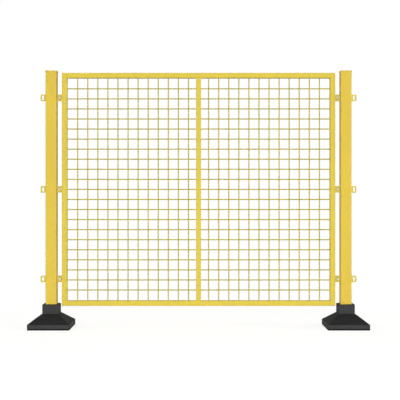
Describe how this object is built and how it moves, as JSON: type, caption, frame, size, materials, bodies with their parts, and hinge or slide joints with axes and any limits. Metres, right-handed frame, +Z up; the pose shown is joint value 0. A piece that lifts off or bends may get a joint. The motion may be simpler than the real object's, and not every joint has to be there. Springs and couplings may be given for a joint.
{
  "type": "wire mesh partition bay",
  "caption": "Free-standing welded wire mesh partition: a framed panel bolted between square posts that stand in moulded bases.",
  "frame": {"origin": "on the floor, midway between the two posts and midway between the front and back edges of the bases", "axes": "+X along the partition to the right seen from the front, -Y is the front, +Z up"},
  "size_m": [1.831, 0.29, 1.401],
  "materials": {
    "post_coat": "satin",
    "cap_coat": "satin",
    "ear_coat": "satin",
    "frame_coat": "satin",
    "wire_coat": "satin",
    "fastener_zinc": "satin",
    "base_moulding": "matte",
    "pad_rubber": "matte"
  },
  "bodies": {
    "base_left": {"base_left": "base_moulding", "foot_pad_left": "pad_rubber"},
    "fence": {"post_left": "post_coat", "post_right": "post_coat", "post_cap_left": "cap_coat", "post_cap_right": "cap_coat", "outer_ears_left": "ear_coat", "outer_ears_right": "ear_coat", "inner_ears_left": "ear_coat", "inner_ears_right": "ear_coat", "stile_left": "frame_coat", "stile_right": "frame_coat", "rail_top": "frame_coat", "rail_bottom": "frame_coat", "centre_bar": "frame_coat", "upright_wires": "wire_coat", "cross_wires": "wire_coat", "panel_ears_left": "ear_coat", "panel_ears_right": "ear_coat", "bolts_left": "fastener_zinc", "bolts_right": "fastener_zinc", "washers_left": "fastener_zinc", "washers_right": "fastener_zinc", "nuts_left": "fastener_zinc", "nuts_right": "fastener_zinc"},
    "base_right": {"base_right": "base_moulding", "foot_pad_right": "pad_rubber"}
  },
  "joints": [
    {"name": "fence_lift", "type": "slide", "parent": "base_left", "child": "fence", "axis": [0, 0, 1], "range_m": [0, 0.13]},
    {"name": "right_base_stay", "type": "slide", "parent": "fence", "child": "base_right", "axis": [0, 0, 1], "range_m": [-0.13, 0]}
  ],
  "couplings": [
    {"joint": "right_base_stay", "follows": "fence_lift", "ratio": -1}
  ]
}
